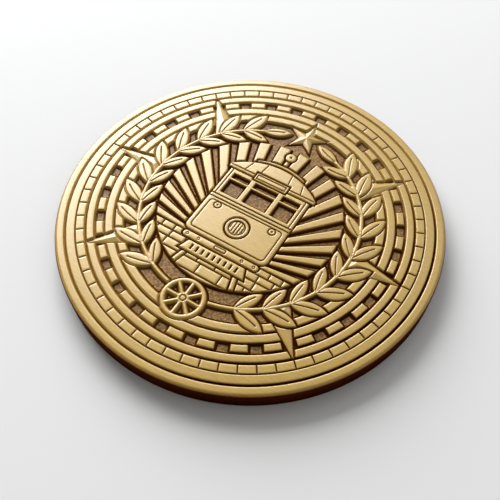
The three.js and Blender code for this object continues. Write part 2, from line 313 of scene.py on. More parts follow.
class Relief:
    """What is struck at a set of points.

    wall is the distance to the nearest raised wall, below zero on the tops; line is the distance
    to the nearest scored line; dip is how far a rounded or faceted top falls below the highest level.
    A motif is laid over what is there by sinking a gap round it and raising it in the gap,
    as a die cutter separates the nearer from the farther.
    """

    def __init__(self, x, y):
        self.x, self.y = x, y
        self.wall = np.full(x.shape, FAR)
        self.line = np.full(x.shape, FAR)
        self.dip = np.zeros(x.shape)

    def near(self, place, reach):
        """Indices of the points within reach of a place."""
        return np.flatnonzero(np.hypot(self.x - place[0], self.y - place[1]) < reach + reach_margin)

    def lay(self, shape, place=(0, 0), reach=EVERYWHERE, top=flat, size=None):
        """Sinks a gap round a shape into what is there, and raises the shape in it."""
        at = self.near(place, reach)
        d = shape(self.x[at], self.y[at])
        self.wall[at] = np.minimum(np.maximum(self.wall[at], outline_gap - d), d)
        self.line[at] = np.where(d < outline_gap, FAR, self.line[at])
        self.dip[at] = np.where(d < outline_gap / 2, top(d, size), self.dip[at])

    def stand(self, shape, place=(0, 0), reach=EVERYWHERE, top=flat, size=None):
        """Raises a shape without a gap, so that it joins whatever it touches."""
        at = self.near(place, reach)
        d = shape(self.x[at], self.y[at])
        covered = (d < 0) | ((d < self.wall[at]) & (d < wall_run))
        self.dip[at] = np.where(covered, top(d, size), self.dip[at])
        self.wall[at] = np.minimum(self.wall[at], d)
        self.line[at] = np.where(d < 0, FAR, self.line[at])

    def sink(self, shape, place=(0, 0), reach=EVERYWHERE):
        """Takes a shape out of what stands, down to the floor."""
        at = self.near(place, reach)
        self.wall[at] = np.maximum(self.wall[at], -shape(self.x[at], self.y[at]))

    def score(self, shape, place=(0, 0), reach=EVERYWHERE):
        """Adds a line that is scored into the tops."""
        at = self.near(place, reach)
        self.line[at] = np.minimum(self.line[at], shape(self.x[at], self.y[at]))

    def pillow(self, shape, place, reach, size):
        """Rounds the top off towards a shape's edge, without raising or sinking the shape."""
        at = self.near(place, reach)
        d = shape(self.x[at], self.y[at])
        self.dip[at] = np.where(d < 0, np.maximum(self.dip[at], crown(d, size)), self.dip[at])


def strike_border(relief):
    """Rings at fixed radii, bricks parted by radial lines, and blocks spaced round their channel."""
    r = np.hypot(relief.x, relief.y)
    angle = np.arctan2(relief.y, relief.x)
    block_turn = 2 * pi / block_count
    block_angle = angle % block_turn - block_turn / 2
    raised = [
        band(r, rim_inner, token_radius + FAR),
        band(r, brick_inner, outer_band_outer),
        band(r, channel_outer, middle_band_outer),
        np.maximum(band(r, block_inner, block_outer), (np.abs(block_angle) - block_half_angle) * r),
        band(r, inner_groove_outer, channel_inner),
        band(r, field_radius, field_band_outer),
    ]
    relief.wall = np.minimum.reduce(raised)
    field_band_dip = crown(field_radius - r, band_crown)
    relief.dip = np.where(r < field_band_outer, field_band_dip, crown(relief.wall, border_crown))
    brick_turn = 2 * pi / brick_count
    brick_angle = (angle + brick_turn / 2) % brick_turn - brick_turn / 2
    joint = np.maximum(np.abs(brick_angle) * r - brick_joint / 2, band(r, brick_inner, brick_outer))
    relief.line = np.minimum(joint, band(r, brick_outer, fine_groove_outer))


def strike_points(relief):
    """Long triangles behind the wreath, each with a ridge along it and a facet to either side.

    The star and the wheel take the places of the two upright ones. Beyond the tip the distance is
    that from the tip, so that the gap round it ends in a half circle.
    """
    slope = point_half_width / (point_tip - point_foot)
    for i in range(point_count):
        angle = i * 2 * pi / point_count
        upright = i % (point_count // 2) == point_count // 4
        if upright:
            continue

        def outline(x, y):
            u, v = turned(x, y, (0, 0), angle)
            side = (np.abs(v) - (point_tip - u) * slope) / hypot(1, slope)
            beyond = u - point_tip > np.abs(v) * slope
            side = np.where(beyond, np.hypot(u - point_tip, v), side)
            return np.maximum(side, point_foot - u)

        place = on_circle((point_foot + point_tip) / 2, angle)
        relief.lay(outline, place, point_tip - point_foot, facet, point_facet)


def leaf_frames(node, spread):
    """Place and direction of a leaf on the right-hand branch, and of its mirror image on the left."""
    angle = first_leaf + node * leaf_step
    place = on_circle(stem_radius, angle)
    direction = angle + pi / 2 + spread
    yield place, direction
    yield (-place[0], place[1]), pi - direction


def strike_leaf(relief, place, direction, size, laid):
    """A leaf with a bowed midrib, laid over what is there or joined to it."""
    length, half_width = size
    middle = (place[0] + length / 2 * cos(direction), place[1] + length / 2 * sin(direction))

    def outline(x, y):
        u, v = turned(x, y, place, direction)
        return leaf(u, v, length, half_width)

    def midrib(x, y):
        u, v = turned(x, y, place, direction)
        bow = midrib_bow * np.sin(u / length * pi)
        return np.maximum(np.abs(v - bow) - hair_width / 2, band(u, midrib_start, length * midrib_share))

    raise_shape = relief.lay if laid else relief.stand
    raise_shape(outline, middle, length, crown, leaf_crown)
    relief.score(midrib, middle, length)


def strike_wreath(relief):
    """Outer leaves laid over the border, then the stems and the inner leaves on the field."""
    for node in range(leaf_nodes):
        for place, direction in leaf_frames(node, -leaf_spread):
            strike_leaf(relief, place, direction, outer_leaf, True)
    from_angle = first_leaf - leaf_step
    to_angle = first_leaf + leaf_nodes * leaf_step

    def stem(x, y):
        angle = np.arctan2(y, np.abs(x))
        ring = np.abs(np.hypot(x, y) - stem_radius) - stem_width / 2
        return np.maximum(ring, band(angle, from_angle, to_angle) * stem_radius)

    relief.stand(stem, (0, 0), stem_radius, crown, stem_crown)
    for node in range(leaf_nodes):
        for place, direction in leaf_frames(node, leaf_spread):
            strike_leaf(relief, place, direction, inner_leaf, False)
    for place, direction in leaf_frames(leaf_nodes - end_leaf_overlap, 0):
        strike_leaf(relief, place, direction, inner_leaf, False)


def strike_star(relief):
    """Five points, each with a ridge from the centre to its tip."""
    place = (0, star_y)
    relief.lay(lambda x, y: star(x, y - star_y, star_radius), place, star_radius, facet, star_facet)


def strike_wheel(relief):
    """A tyre, straight spokes and a hub with a line round its axle, on a round of cleared floor."""
    place = (0, wheel_y)

    def framework(x, y):
        turn = 2 * pi / spoke_count
        r = np.hypot(x, y - wheel_y)
        angle = np.arctan2(y - wheel_y, x)
        across = np.abs((angle + turn / 2) % turn - turn / 2) * r - spoke_width / 2
        spoke = np.maximum(across, r - wheel_radius + tyre_width / 2)
        tyre = band(r, wheel_radius - tyre_width, wheel_radius)
        return np.minimum(np.minimum(spoke, tyre), r - hub_radius)

    at = relief.near(place, wheel_radius)
    clear = disc(relief.x[at], relief.y[at], wheel_radius + outline_gap, *place)
    relief.wall[at] = np.maximum(relief.wall[at], -clear)
    relief.line[at] = np.where(clear < 0, FAR, relief.line[at])
    relief.stand(framework, place, wheel_radius, crown, tyre_crown)
    relief.score(lambda x, y: np.abs(disc(x, y, axle_radius, *place)) - hair_width / 2, place, hub_radius)


def strike_rays(relief):
    """Wedges from a point on the horizon, between a small circle round it and the scene's circle."""

    def fan(x, y):
        dy = y - horizon
        step = pi / ray_count
        r = np.hypot(x, dy)
        folded = np.abs(np.arctan2(dy, x) % step - step / 2)
        side = (folded - step / 4) * r
        edge = np.maximum(disc(x, y, scene_radius), -dy)
        return np.maximum(np.maximum(side, edge), car_half / 2 - r)

    relief.stand(fan, (0, 0), scene_radius, crown, ray_crown)


def strike_ground(relief):
    """A segment of the scene's circle, scored in rows of paving that grow towards the front."""
    relief.stand(lambda x, y: np.maximum(disc(x, y, scene_radius), y - horizon), (0, 0), scene_radius)
    head = horizon
    for row in range(cobble_rows):
        length = cobble_length * cobble_growth**row
        foot = head - first_cobble_row * cobble_growth**row
        shift = length / 2 if row % 2 else 0.0

        def joints(x, y):
            across = np.abs((x + scene_radius - shift + length / 2) % length - length / 2)
            upright = np.maximum(across - line_width / 2, band(y, foot, head))
            course = np.abs(y - foot) - line_width / 2
            return np.maximum(np.minimum(upright, course), disc(x, y, scene_radius))

        relief.score(joints, (0, 0), scene_radius)
        head = foot
    paved = (relief.wall < 0) & (relief.y < horizon) & (disc(relief.x, relief.y, scene_radius) < 0)
    relief.dip = np.where(paved, crown(-relief.line, stone_crown), relief.dip)


def strike_rails(relief):
    """Two straight bars that splay towards the front."""
    head = car_sill - bumper_height
    foot = -scene_radius
    half = rail_width / 2
    for side in (-1, 1):
        head_x = side * rail_gauge / 2
        foot_x = head_x + side * rail_splay / 2
        corners = [(foot_x - half, foot), (foot_x + half, foot), (head_x + half, head),
                   (head_x - half, head)]

        def bar(x, y):
            return np.maximum(convex(x, y, corners), disc(x, y, scene_radius))

        relief.lay(bar, (0, foot), scene_radius, crown, stem_crown)


def strike_roof(relief):
    """Trolley pole with its wheel, and the clerestory in front of it."""
    head = car_eaves + pole_height
    wheel = (0, head)
    springing = car_eaves + clerestory_height - clerestory_rise
    relief.lay(lambda x, y: rectangle(x, y, -pole_width / 2, pole_width / 2, car_eaves, head),
               (0, car_eaves + pole_height / 2), pole_height, crown, stem_crown)
    relief.lay(lambda x, y: disc(x, y, pole_wheel_radius, *wheel),
               wheel, pole_wheel_radius, crown, body_crown)
    relief.score(lambda x, y: disc(x, y, pole_axle_radius, *wheel), wheel, pole_wheel_radius)
    relief.lay(lambda x, y: arch(x, y, clerestory_half, car_eaves, springing, clerestory_rise),
               (0, car_eaves), scene_radius, crown, body_crown)


def roof_shape(x, y):
    """The arch of the roof, which overhangs the body at either side."""
    return arch(x, y, car_half + roof_overhang, car_eaves, car_eaves + roof_overhang, roof_rise)


def strike_body(relief):
    """Body with rounded lower corners, the ribbed roof over it, and the blank board on the roof."""
    relief.lay(lambda x, y: rounded(x, y, -car_half, car_half, car_sill, body_head, car_corner),
               (0, 0), scene_radius, crown, body_crown)
    relief.lay(roof_shape, (0, car_eaves), scene_radius, crown, body_crown)

    def eave(x, y):
        return np.maximum(np.abs(y - eave_line) - hair_width / 2, roof_shape(x, y) + roof_margin)

    relief.score(eave)
    for bend in (-roof_rib_reach, -roof_rib_reach / 2, roof_rib_reach / 2, roof_rib_reach):

        def rib(x, y):
            across = np.abs(x - bend * (1 - (y - car_eaves) * roof_rib_lean)) - hair_width / 2
            return np.maximum(across, np.maximum(roof_shape(x, y) + roof_margin, eave_line - y))

        relief.score(rib)

    def board(x, y):
        return rectangle(x, y, -board_half, board_half, board_foot, board_foot + board_height)

    relief.lay(board, (0, board_foot), board_half * 2)
    relief.score(lambda x, y: np.abs(board(x, y) + board_inset) - hair_width / 2)


def strike_windows(relief):
    """Three openings, each a tall pane under a small one, and an upright line at either side of them."""
    bar_foot = window_bar - window_bar_width / 2
    bar_head = window_bar + window_bar_width / 2
    openings = [
        (-side_window_right, -side_window_left),
        (-centre_window_half, centre_window_half),
        (side_window_left, side_window_right),
    ]
    for left, right in openings:
        place = ((left + right) / 2, window_bar)
        relief.sink(lambda x, y: rectangle(x, y, left, right, window_sill, bar_foot), place, car_half)
        relief.sink(lambda x, y: rectangle(x, y, left, right, bar_head, window_head), place, car_half)
    for post in (-post_x, post_x):
        relief.score(lambda x, y: np.maximum(np.abs(x - post) - hair_width / 2, band(y, waist, post_head)))


def strike_dash(relief):
    """Two waist lines, and a line round the panel below them."""
    for level in (waist, waist - waist_spacing):
        relief.score(lambda x, y: np.maximum(np.abs(y - level) - line_width / 2, np.abs(x) - waist_half))

    def panel(x, y):
        return rounded(x, y, -panel_half, panel_half, panel_foot, panel_head, panel_corner)

    relief.score(lambda x, y: np.abs(panel(x, y)) - hair_width / 2)


def strike_lamps(relief):
    """The headlamp in its round groove, with a domed and ribbed lens, and two marker lamps."""
    place = (0, lamp_y)

    def groove(x, y):
        return band(np.hypot(x, y - lamp_y), lamp_radius, lamp_radius + outline_gap)

    def lens(x, y):
        return disc(x, y, lens_radius, *place)

    def ribs(x, y):
        across = np.abs((x + lens_rib_step / 2) % lens_rib_step - lens_rib_step / 2) - hair_width / 2
        return np.maximum(across, lens(x, y) + lens_rib_margin)

    relief.line[disc(relief.x, relief.y, lamp_clearance, *place) < 0] = FAR
    relief.sink(groove, place, lamp_clearance)
    relief.score(lambda x, y: np.abs(lens(x, y)) - line_width / 2, place, lens_radius)
    relief.pillow(lens, place, lens_radius, lens_crown)
    relief.score(ribs, place, lens_radius)
    for marker in ((-marker_x, marker_y), (marker_x, marker_y)):
        relief.score(lambda x, y: np.abs(disc(x, y, marker_radius, *marker)) - line_width / 2,
                     marker, marker_radius)
        relief.score(lambda x, y: disc(x, y, marker_dot_radius, *marker), marker, marker_radius)


def strike_guard(relief):
    """The slotted guard below the bumper, wider at its foot."""
    foot = guard_head - guard_height
    corners = [(-guard_foot_half, foot), (guard_foot_half, foot), (guard_head_half, guard_head),
               (-guard_head_half, guard_head)]
    relief.lay(lambda x, y: convex(x, y, corners), (0, foot), guard_foot_half, crown, body_crown)
    pitch = guard_head_half * 2 / (guard_slots + 1)
    half = guard_slot_width / 2
    for i in range(guard_slots):
        x0 = (i + 1) * pitch - guard_head_half

        def slot(x, y):
            return rectangle(x, y, x0 - half, x0 + half, foot + guard_frame, guard_head - guard_frame)

        relief.sink(slot, (x0, foot + guard_height / 2), guard_height)


def strike_bumper(relief):
    """The bumper bar, with a line round each bolt head and round the coupler."""
    head = car_sill - outline_gap
    foot = head - bumper_height
    middle = (head + foot) / 2
    relief.lay(lambda x, y: rounded(x, y, -bumper_half, bumper_half, foot, head, bumper_corner),
               (0, foot), bumper_half, crown, body_crown)
    for x0 in (-outer_bolt_x, -inner_bolt_x, inner_bolt_x, outer_bolt_x):
        relief.score(lambda x, y: np.abs(disc(x, y, bolt_radius, x0, middle)) - bolt_line_width / 2,
                     (x0, middle), bolt_radius)

    def coupler(x, y):
        return rounded(x, y, -coupler_half, coupler_half, foot + coupler_margin, head - coupler_margin,
                       coupler_corner)

    relief.score(lambda x, y: np.abs(coupler(x, y)) - hair_width / 2)


def strike(x, y):
    """All the work of the obverse at a set of points, from the border to the nearest motif."""
    relief = Relief(x, y)
    strike_border(relief)
    strike_points(relief)
    strike_wreath(relief)
    strike_star(relief)
    strike_wheel(relief)
    strike_rays(relief)
    strike_ground(relief)
    strike_rails(relief)
    strike_roof(relief)
    strike_body(relief)
    strike_windows(relief)
    strike_dash(relief)
    strike_lamps(relief)
    strike_guard(relief)
    strike_bumper(relief)
    return relief


def smooth(low, high, value):
    """Nought up to low, one from high on, and an S curve between; high may also be the smaller."""
    t = np.clip((value - low) / (high - low), 0, 1)
    return t * t * (3 - 2 * t)


def struck_height(relief):
    """Height above the reverse plane.

    A quarter ellipse makes the shoulder and a steep S curve the wall, down to the floor of a narrow
    groove; a second S curve goes on to the floor of a wide one. A scored line takes the metal down
    in a rounded V of its own depth, with a small shoulder to either side.
    """
    shoulder = crown(relief.wall, (shoulder_run, shoulder_drop))
    line_shoulder = crown(-np.maximum(relief.line, 0), (line_shoulder_run, line_shoulder_drop))
    scored = (line_depth - line_shoulder_drop) * smooth(0, line_width / 2, -relief.line)
    top = shoulder + relief.dip + line_shoulder + scored
    below = (groove_depth - np.minimum(top, groove_depth)) * smooth(0, wall_run, relief.wall)
    below = below + (relief_depth - groove_depth) * smooth(foot_start, foot_run, relief.wall)
    return thickness - top - below


# The antique finish as one number, from the rubbed tops through the dark walls to the blasted field.
# Round the border the patina is painted lighter on the side that faces the window lamp and darker on
# the side turned from it, as painted light and shade: each pair is the value on the shaded side and on the
# lit side.
line_foot = (0.42, 0.24)
wall_face = (0.50, 0.28)
patina_edge = (0.02, 0.10)
# The side facing the window lamp, where the patina is painted lighter, and the S curve of that painted
# light and shade across the token; in the middle it stays at one level
painted_lit_direction = radians(151)
lit_ramp_from = -0.95
lit_ramp_to = 0.0
middle_lit_level = 0.3

# The finish elsewhere, and the stretches over which one finish passes into the next
tops = 0.0
plain_field = 1.0
# The side is painted dark, darker towards its foot: painted shade and the dark reflection of its
# surroundings
side_shade_head = 0.48
side_shade_foot = 0.54
patina_blur = 0.035
# The darkening of the field beside a wall is part patina and part painted shade
patina_and_shade_halo = 0.09
line_blur = (0.03, -0.05)
# How far round the rolled corner the side's painted shade sets in
corner_shade_blur = (0.6, 0.93)


def between(pair, share):
    """The value that lies at a share of the way from the first of a pair to the second."""
    return pair[0] + (pair[1] - pair[0]) * share


def painted_light_share(x, y):
    """Painted light and shade across the border: an S curve from nought on the side turned from the window
    lamp to one on the side that faces it; even in the middle.
    """
    along = (x * cos(painted_lit_direction) + y * sin(painted_lit_direction)) / token_radius
    in_border = smooth(scene_radius, field_radius, np.hypot(x, y))
    return middle_lit_level + (smooth(lit_ramp_from, lit_ramp_to, along) - middle_lit_level) * in_border


def floor_patina_and_shade(wall, lit_side_share=0.5):
    """Patina on a wall, passing through the darkest at its foot into the finish of the plain field. The
    darkening beside the wall is part patina and part painted shade, and it is painted lighter towards the
    lit side.
    """
    edge = between(patina_edge, lit_side_share)
    face = between(wall_face, lit_side_share)
    inside = smooth(edge - patina_blur, edge + patina_blur, wall)
    away = 1 - np.exp(-np.maximum(wall - foot_run, 0) / patina_and_shade_halo)
    return inside * (face + (plain_field - face) * away)


def struck_patina_and_shade(relief):
    """The patina of walls and floors, or that in a scored line where it is the stronger; in the border it
    is painted lighter towards the window lamp and darker away from it, as painted light and shade.
    """
    lit_side_share = painted_light_share(relief.x, relief.y)
    scored = between(line_foot, lit_side_share) * smooth(*line_blur, relief.line)
    return np.maximum(floor_patina_and_shade(relief.wall, lit_side_share), scored)


# Meshes


# Grid lines beside a wall, as distances from its edge, below zero on its top; the same across a
# brick joint, from its middle; and some farther out on the reverse
wall_offsets = np.array([-0.13, -0.09, -0.05, -0.02, 0.0, 0.035, 0.065, 0.1, 0.15, 0.19, 0.24])
joint_offsets = np.array([-0.16, -0.11, -0.07, -0.035, 0.0, 0.035, 0.07, 0.11, 0.16])
reverse_offsets = (0.32, 0.42, 0.6)

# Longest steps along a radius, and numbers of steps
rim_step = 0.09
ring_step = 0.08
inner_band_step = 0.06
rim_columns = 1440
inner_band_columns = 1800
brick_columns = 12
block_columns = 14
corner_steps = 12
field_steps = 280


def add_piece(name, points, finish_and_shade, quads, triangles, seam):
    """One closed mesh in metres. Its seam edges are sharp, so that no shade bleeds across them."""
    mesh = bpy.data.meshes.new(name)
    corners = np.concatenate([quads.ravel(), triangles.ravel()]).astype(np.int32)
    quad_starts = np.arange(len(quads)) * 4
    triangle_starts = quads.size + np.arange(len(triangles)) * 3
    starts = np.concatenate([quad_starts, triangle_starts]).astype(np.int32)
    mesh.vertices.add(len(points))
    mesh.vertices.foreach_set("co", (points * MM).astype(np.float32).ravel())
    mesh.loops.add(len(corners))
    mesh.loops.foreach_set("vertex_index", corners)
    mesh.polygons.add(len(starts))
    mesh.polygons.foreach_set("loop_start", starts)
    mesh.polygons.foreach_set("use_smooth", np.ones(len(starts), dtype=bool))
    mesh.update(calc_edges=True)
    shade = mesh.attributes.new("finish_and_shade", "FLOAT", "POINT")
    shade.data.foreach_set("value", finish_and_shade.astype(np.float32))
    ends = np.empty(len(mesh.edges) * 2, dtype=np.int32)
    mesh.edges.foreach_get("vertices", ends)
    ends = ends.reshape(-1, 2)
    sharp = mesh.attributes.new("sharp_edge", "BOOLEAN", "EDGE")
    sharp.data.foreach_set("value", seam[ends[:, 0]] & seam[ends[:, 1]])
    piece = bpy.data.objects.new(name, mesh)
    bpy.context.scene.collection.objects.link(piece)
    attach(piece, "root")
    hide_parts(NODE)
    return piece


def wrapped_quads(rows, columns):
    """Faces of a grid that closes on itself both ways, as a ring's skin does."""
    i = np.arange(rows)[:, None]
    j = np.arange(columns)[None, :]
    next_i, next_j = (i + 1) % rows, (j + 1) % columns
    corners = [i * columns + j, next_i * columns + j, next_i * columns + next_j, i * columns + next_j]
    return np.stack([np.broadcast_to(c, (rows, columns)) for c in corners], axis=-1).reshape(-1, 4)


def stations(low, high, walls, step):
    """Radii from low to high: close together at each wall, and at most a step apart between.

    walls maps a wall's radius to +1 where its groove lies outside it, or -1 where it lies inside.
    """
    marks = [np.array([low, high])]
    marks += [radius + side * wall_offsets for radius, side in walls.items()]
    marks = np.unique(np.round(np.concatenate(marks), 4))
    marks = marks[(marks >= round(low, 4)) & (marks <= round(high, 4))]
    filled = [marks[:1]]
    for a, b in zip(marks[:-1], marks[1:]):
        parts = max(1, int(np.ceil((b - a) / step)))
        filled.append(np.linspace(a, b, parts + 1)[1:])
    return np.concatenate(filled)


def round_angles(count):
    """Evenly spaced angles round the token."""
    return np.arange(count) * 2 * pi / count


def repeated(angles, count):
    """The same angles in each of a number of equal turns."""
    turn = 2 * pi / count
    return (np.arange(count)[:, None] * turn + angles[None, :]).ravel()


def brick_angles(steps):
    """Angles round the token that crowd at each brick joint."""
    turn = 2 * pi / brick_count
    joint = joint_offsets / brick_outer
    gap = np.linspace(joint[-1], turn + joint[0], steps + 2)[1:-1]
    return repeated(np.concatenate([joint, gap]), brick_count)


def block_angles(steps):
    """Angles round the token that crowd at both ends of each block."""
    turn = 2 * pi / block_count
    wall = wall_offsets / channel_inner
    start = turn / 2 - block_half_angle - wall[::-1]
    end = turn / 2 + block_half_angle + wall
    inside = np.linspace(start[-1], end[0], steps + 2)[1:-1]
    gap = np.linspace(end[-1], start[0] + turn, steps + 2)[1:-1]
    return repeated(np.concatenate([start, inside, end, gap]), block_count)


def ring_piece(name, radii, angles, under, seam_rows):
    """A ring of the token, swept round the axis: relief on top, and a plain section below it.

    radii run outwards along the top; under lists radius, height and finish from the outer wall
    round to the inner. Rows in seam_rows, counted from the inner end of the top, meet another piece.
    """
    radius, angle = np.meshgrid(radii, angles, indexing="ij")
    x, y = (radius * np.cos(angle)).ravel(), (radius * np.sin(angle)).ravel()
    relief = strike(x, y)
    under = np.array(under)
    low_radius, low_angle = np.meshgrid(under[:, 0], angles, indexing="ij")
    low_x, low_y = (low_radius * np.cos(low_angle)).ravel(), (low_radius * np.sin(low_angle)).ravel()
    top = np.stack([x, y, struck_height(relief)], axis=-1)
    low = np.stack([low_x, low_y, np.repeat(under[:, 1], len(angles))], axis=-1)
    finish_and_shade = np.concatenate([struck_patina_and_shade(relief), np.repeat(under[:, 2], len(angles))])
    rows = len(radii) + len(under)
    row = np.repeat(np.arange(rows), len(angles))
    seam = np.isin(row, [r % rows for r in seam_rows])
    no_triangles = np.empty((0, 3), dtype=int)
    return add_piece(name, np.concatenate([top, low]), finish_and_shade, wrapped_quads(rows, len(angles)),
                     no_triangles, seam)


def quarter_turn(low, high, centre, radius):
    """Points of a round corner between two angles, as radius and height."""
    angles = np.linspace(low, high, corner_steps + 1)
    return [(centre[0] + radius * cos(a), centre[1] + radius * sin(a)) for a in angles]


def reverse_section(low, high):
    """The underside between two radii, from outside in: flat rim, soft shoulder, wall and sunk field."""
    wall = token_radius - reverse_rim_width
    points = [(high, 0.0, tops)]
    if high > wall:
        for offset in wall_offsets:
            height = float(crown(offset, (shoulder_run, shoulder_drop)))
            height += (reverse_depth - shoulder_drop) * float(smooth(0, wall_run, offset))
            points.append((wall - offset, height, float(floor_patina_and_shade(offset))))
        for offset in reverse_offsets:
            points.append((wall - offset, reverse_depth, float(floor_patina_and_shade(offset))))
    else:
        points = [(high, reverse_depth, plain_field)]
    return points + [(low, reverse_depth, plain_field)]


def field_quarter(name, quadrant, radius, steps):
    """A quarter of the middle of the token.

    A square grid is mapped onto the quarter so that squares become circles and areas keep their
    ratio: the radius is the larger coordinate, and the angle goes with the ratio of the two.
    """
    t = np.linspace(0, 1, steps + 1)
    a, b = np.meshgrid(t, t, indexing="ij")
    larger = np.maximum(a, b)
    ratio = np.minimum(a, b) / np.maximum(larger, 1e-12)
    angle = np.where(a >= b, ratio, 2 - ratio) * pi / 4
    angle = angle + quadrant * pi / 2
    x, y = (larger * radius * np.cos(angle)).ravel(), (larger * radius * np.sin(angle)).ravel()
    relief = strike(x, y)
    top = np.stack([x, y, struck_height(relief)], axis=-1)
    index = np.arange((steps + 1) ** 2).reshape(steps + 1, steps + 1)
    corners = [index[:-1, :-1], index[1:, :-1], index[1:, 1:], index[:-1, 1:]]
    quads = np.stack(corners, axis=-1).reshape(-1, 4)
    rim = np.concatenate([index[:-1, 0], index[-1, :-1], index[:0:-1, -1], index[0, :0:-1]])
    low = top[rim].copy()
    low[:, 2] = reverse_depth
    count, first = len(rim), len(top)
    ahead = np.roll(np.arange(count), -1)
    walls = np.stack([rim, first + np.arange(count), first + ahead, rim[ahead]], axis=-1)
    middle = np.array([[*on_circle(radius / 2, (quadrant + 0.5) * pi / 2), reverse_depth]])
    fan = np.stack([np.full(count, first + count), first + ahead, first + np.arange(count)], axis=-1)
    points = np.concatenate([top, low, middle])
    finish_and_shade = np.concatenate([struck_patina_and_shade(relief), np.full(count + 1, plain_field)])
    seam = np.zeros(len(points), dtype=bool)
    seam[rim] = True
    seam[first:first + count] = True
    return add_piece(name, points, finish_and_shade, np.concatenate([quads, walls]), fan, seam)


# Seams between pieces, each in the middle of a groove
rim_seam = (rim_inner + outer_band_outer) / 2
brick_seam = (brick_inner + middle_band_outer) / 2
channel_seam = (block_inner + channel_inner) / 2
inner_seam = (inner_groove_outer + field_band_outer) / 2


def full_ring(name, low, high, walls, step, angles):
    """A ring between two seams, with relief above and the reverse below."""
    radii = stations(low, high, walls, step)
    top_end = len(radii) - 1
    return ring_piece(name, radii, angles, reverse_section(low, high), [0, top_end, top_end + 1, -1])


def token_rim():
    """The raised rim with the rounded side, painted dark part of the way round its corners and down the
    side, darker towards the foot: painted shade and the dark reflection of the surroundings.
    """
    corner = token_radius - edge_radius
    radii = stations(rim_seam, corner, {rim_inner: -1}, rim_step)
    over = quarter_turn(pi / 2, 0, (corner, thickness - edge_radius), edge_radius)[1:]
    below = quarter_turn(0, -pi / 2, (corner, edge_radius), edge_radius)
    under = []
    for r, z in over + below:
        # Painted shade on the rolled corner and the side, darker towards the foot
        share = float(smooth(*corner_shade_blur, (r - corner) / edge_radius))
        under.append((r, z, share * (side_shade_foot + (side_shade_head - side_shade_foot) * z / thickness)))
    under.append((rim_seam, 0.0, tops))
    return ring_piece("token_rim", radii, round_angles(rim_columns), under, [0, -1])


def token_brick_ring():
    """The outer band with the ring of bricks."""
    walls = {outer_band_outer: 1, brick_inner: -1, brick_outer: 1, fine_groove_outer: -1}
    angles = brick_angles(brick_columns)
    return full_ring("token_brick_ring", brick_seam, rim_seam, walls, ring_step, angles)


def token_block_ring():
    """The middle band and the channel with its blocks."""
    walls = {middle_band_outer: 1, channel_outer: -1, block_outer: 1, block_inner: -1}
    angles = block_angles(block_columns)
    return full_ring("token_block_ring", channel_seam, brick_seam, walls, ring_step, angles)


def token_inner_band():
    """The band inside the channel."""
    walls = {channel_inner: 1, inner_groove_outer: -1}
    angles = round_angles(inner_band_columns)
    return full_ring("token_inner_band", inner_seam, channel_seam, walls, inner_band_step, angles)


def token_field():
    """The four quarters of the middle, with the innermost band."""
    return [field_quarter(f"token_field_{q + 1}", q, inner_seam, field_steps) for q in range(4)]


# Materials


def put(tree, kind, values=None, **settings):
    """A node of one kind, with its settings and the values of its sockets."""
    node = tree.nodes.new(kind)
    for key, value in settings.items():
        setattr(node, key, value)
    for key, value in (values or {}).items():
        if isinstance(value, bpy.types.NodeSocket):
            tree.links.new(value, node.inputs[key])
        else:
            node.inputs[key].default_value = value
    return node


def ramp(tree, factor, stops):
    """A colour that changes evenly from stop to stop, each given as position and colour."""
    node = put(tree, "ShaderNodeValToRGB", {"Fac": factor})
    elements = node.color_ramp.elements
    while len(elements) < len(stops):
        elements.new(0.5)
    for element, (position, colour) in zip(elements, stops):
        element.position = position
        element.color = (*colour, 1)
    return node.outputs["Color"]


def arithmetic(tree, operation, *values, **settings):
    """The number that an operation makes of others."""
    return put(tree, "ShaderNodeMath", dict(enumerate(values)), operation=operation, **settings).outputs[0]


def multiplied(tree, share, first, second):
    """A first colour, changed by a share towards its product with a second."""
    return put(tree, "ShaderNodeMix", {"Factor": share, 6: first, 7: second}, data_type="RGBA",
               blend_type="MULTIPLY").outputs[2]


def grey(level):
    """A grey of one level."""
    return (level, level, level)


def brass_tone(red, green, blue):
    """A colour as it looks on a screen, made linear."""
    return tuple((c / 255) ** 2.2 for c in (red, green, blue))


def surface_noise(tree, place):
    """Wide clouds, fine hairs along the brushing, and the grain of the blasting."""
    brushing = put(tree, "ShaderNodeMapping", {"Vector": place, "Rotation": (0, 0, radians(35)),
                                               "Scale": (700.0, 6500.0, 700.0)}).outputs["Vector"]
    cloud = put(tree, "ShaderNodeTexNoise", {"Vector": place, "Scale": 110.0, "Detail": 4.0})
    hairs = put(tree, "ShaderNodeTexNoise", {"Vector": brushing, "Scale": 1.0, "Detail": 3.0})
    blast = put(tree, "ShaderNodeTexNoise", {"Vector": place, "Scale": 3400.0, "Detail": 2.0,
                                             "Roughness": 0.6})
    return [node.outputs["Fac"] for node in (cloud, hairs, blast)]


def patina_and_shade_colour(tree, finish_and_shade, cloud):
    """Brass that darkens from amber to near black, and turns to the brown of the field; the same colours
    make the patina in the hollows and the painted shade on the side.
    """
    cloudy = arithmetic(tree, "MULTIPLY_ADD", cloud, 0.08, -0.04)
    stage = arithmetic(tree, "ADD", finish_and_shade, cloudy, use_clamp=True)
    return ramp(tree, stage, [
        (0.0, brass_tone(191, 154, 54)),
        (0.06, brass_tone(185, 145, 48)),
        (0.15, brass_tone(162, 120, 36)),
        (0.27, brass_tone(128, 84, 26)),
        (0.36, brass_tone(108, 64, 18)),
        (0.44, brass_tone(86, 42, 12)),
        (0.54, brass_tone(48, 19, 4)),
        (0.66, brass_tone(104, 72, 34)),
        (0.82, brass_tone(150, 116, 62)),
        (1.0, brass_tone(150, 113, 66)),
    ])


